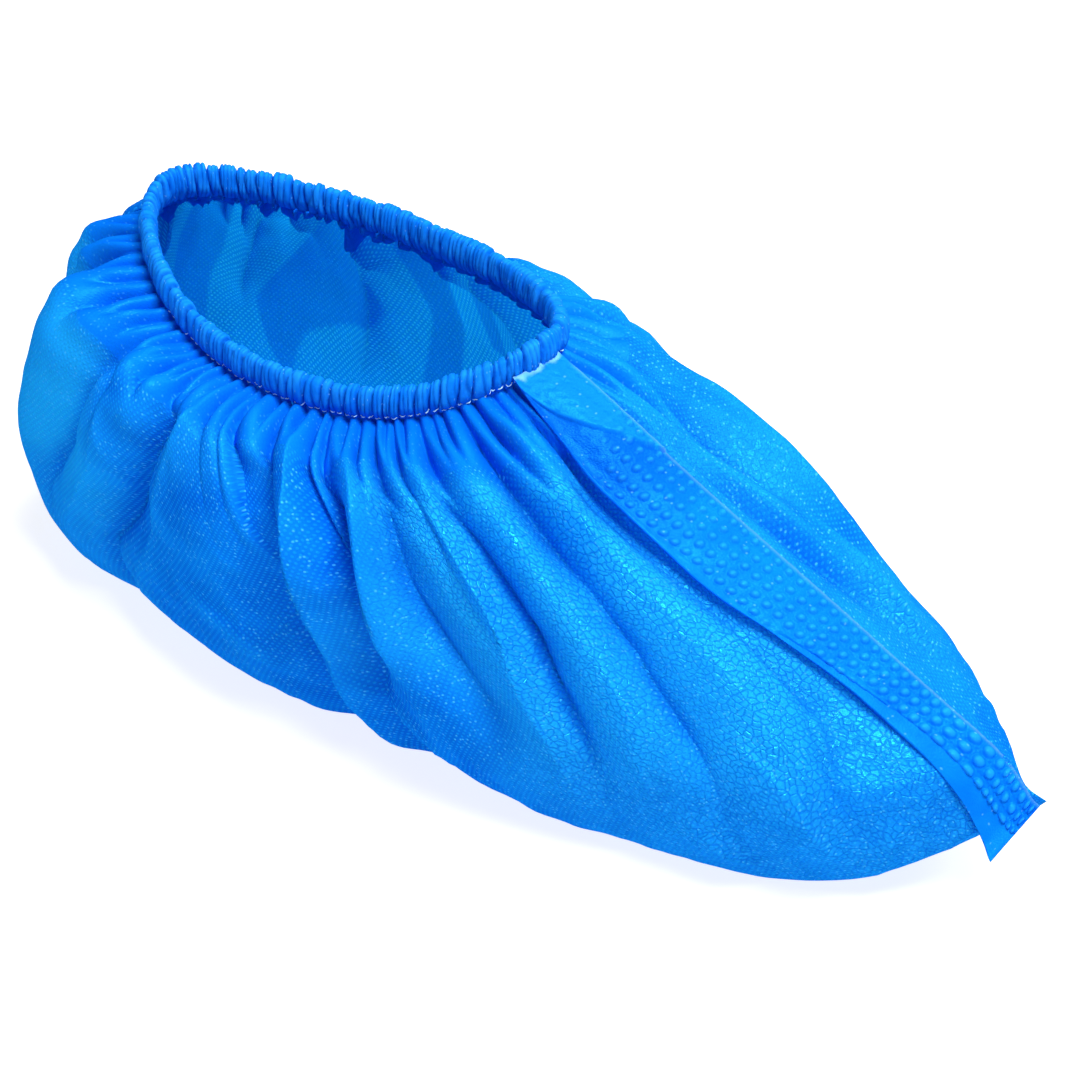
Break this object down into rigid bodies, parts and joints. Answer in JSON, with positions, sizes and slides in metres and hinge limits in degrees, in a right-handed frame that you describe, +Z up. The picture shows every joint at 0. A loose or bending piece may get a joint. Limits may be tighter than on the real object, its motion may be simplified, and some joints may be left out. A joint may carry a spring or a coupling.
{
  "type": "disposable shoe cover",
  "caption": "Thin blue non-woven shoe cover, an open bag with an elastic casing gathered round the mouth and a welded strip down the toe.",
  "frame": {"origin": "middle of the footprint, on the surface that the sole rests on", "axes": "+X from heel to toe along the sole, +Z up, +Y to the side that the toe strip is not folded on to"},
  "size_m": [0.326, 0.1264, 0.1199],
  "materials": {
    "nonwoven_body": "thin film-coated spun-bonded cloth, fine diagonal embossed dots, half glossy, lets light through",
    "ruched_casing": "same cloth doubled over elastic, ruched, satin",
    "hem_cloth": "same cloth turned down inside, matt",
    "welded_strip": "layers welded together with rows of round raised dots, satin"
  },
  "bodies": {
    "root": {"cover_shell": "nonwoven_body", "elastic_casing": "ruched_casing", "hem_facing": "hem_cloth", "toe_seam_strip": "welded_strip", "heel_seam_strip": "welded_strip"}
  },
  "joints": []
}
